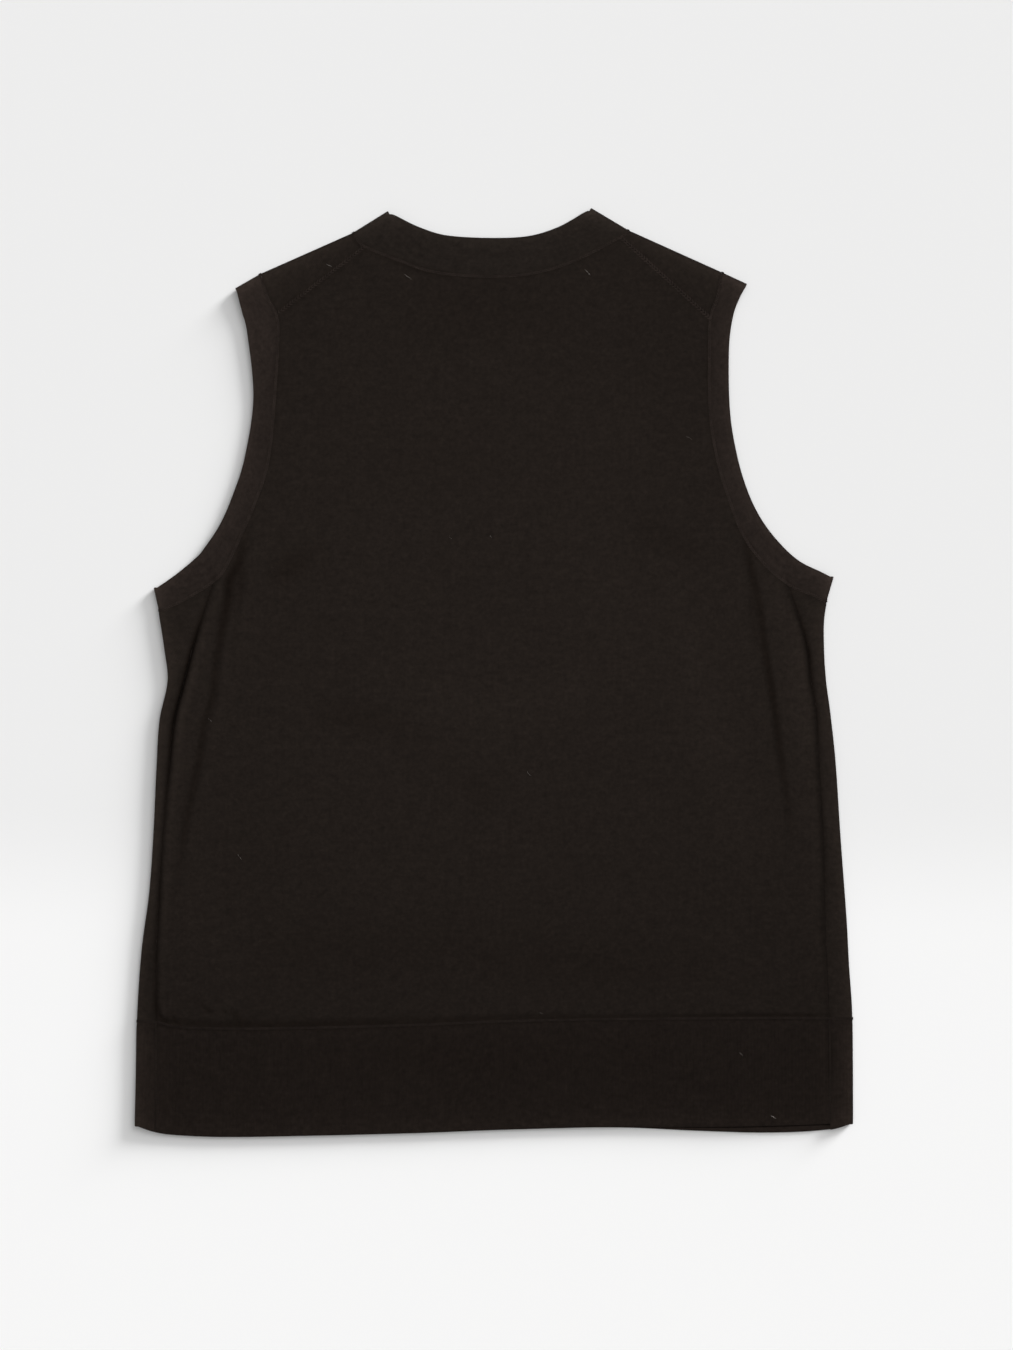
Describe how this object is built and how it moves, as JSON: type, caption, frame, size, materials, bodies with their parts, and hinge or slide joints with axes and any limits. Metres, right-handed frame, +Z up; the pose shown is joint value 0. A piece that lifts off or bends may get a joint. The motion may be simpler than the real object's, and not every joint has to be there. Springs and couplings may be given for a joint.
{
  "type": "knitted sweater vest laid flat",
  "caption": "Sleeveless knitted pullover laid flat on its front, with ribbed neck, armhole and hem bands and open neck, armholes and hem.",
  "frame": {"origin": "middle of the bounding box's base, on the surface that the garment lies on", "axes": "+Z up, out of the back of the garment; +Y from the hem to the neck; +X to the right as the back is seen from above"},
  "size_m": [0.509, 0.658, 0.0084],
  "materials": {
    "body_knit": "fine plain knit in dark brown-black wool, matt with a faint nap",
    "band_rib": "fine rib in the same wool, a shade lighter and warmer, linked to the body",
    "hem_rib": "fine deep rib in the same wool, a shade darker, matt"
  },
  "bodies": {
    "root": {"back_panel": "body_knit", "front_panel": "body_knit", "hem_rib_back": "hem_rib", "hem_rib_front": "hem_rib", "neck_rib": "band_rib", "armhole_rib_left": "band_rib", "armhole_rib_right": "band_rib"}
  },
  "joints": []
}
